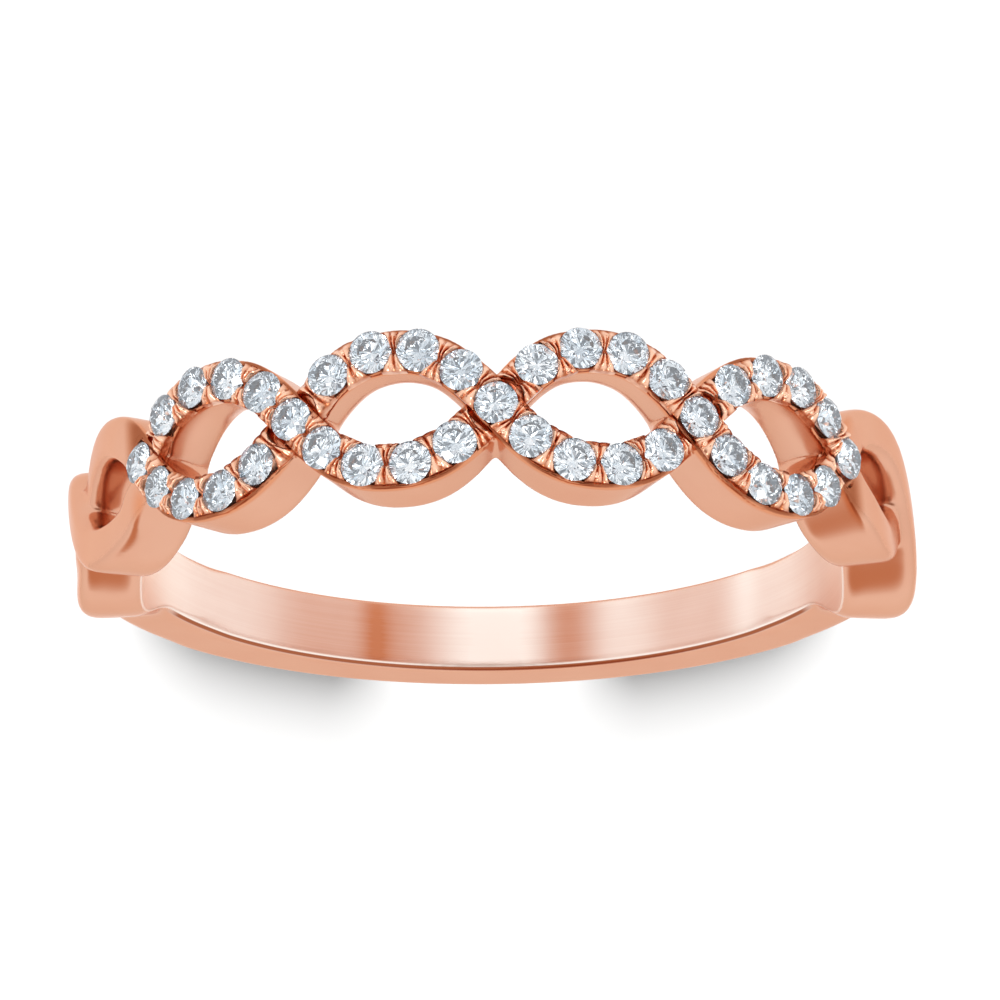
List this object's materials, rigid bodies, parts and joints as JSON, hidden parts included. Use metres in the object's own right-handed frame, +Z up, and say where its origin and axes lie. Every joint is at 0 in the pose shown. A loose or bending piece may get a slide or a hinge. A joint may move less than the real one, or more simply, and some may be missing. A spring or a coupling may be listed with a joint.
{
  "type": "diamond band",
  "caption": "Slim ring whose head is two strands twisted over each other in open ovals and set with a row of small round stones, on a plain shank.",
  "frame": {"origin": "centre of the finger hole, at the middle of the ring's width", "axes": "+Z along the finger's axis, -Y towards the middle of the stone-set head, +X to the right for someone who looks at the head with +Z up"},
  "size_m": [0.021, 0.0209, 0.0038],
  "materials": {
    "rose_gold": "polished 14 karat rose gold, satin inside the shank",
    "diamond": "clear round brilliants, polished facets"
  },
  "bodies": {
    "root": {"band": "rose_gold", "stones_strand_a": "diamond", "stones_strand_b": "diamond"}
  },
  "joints": []
}
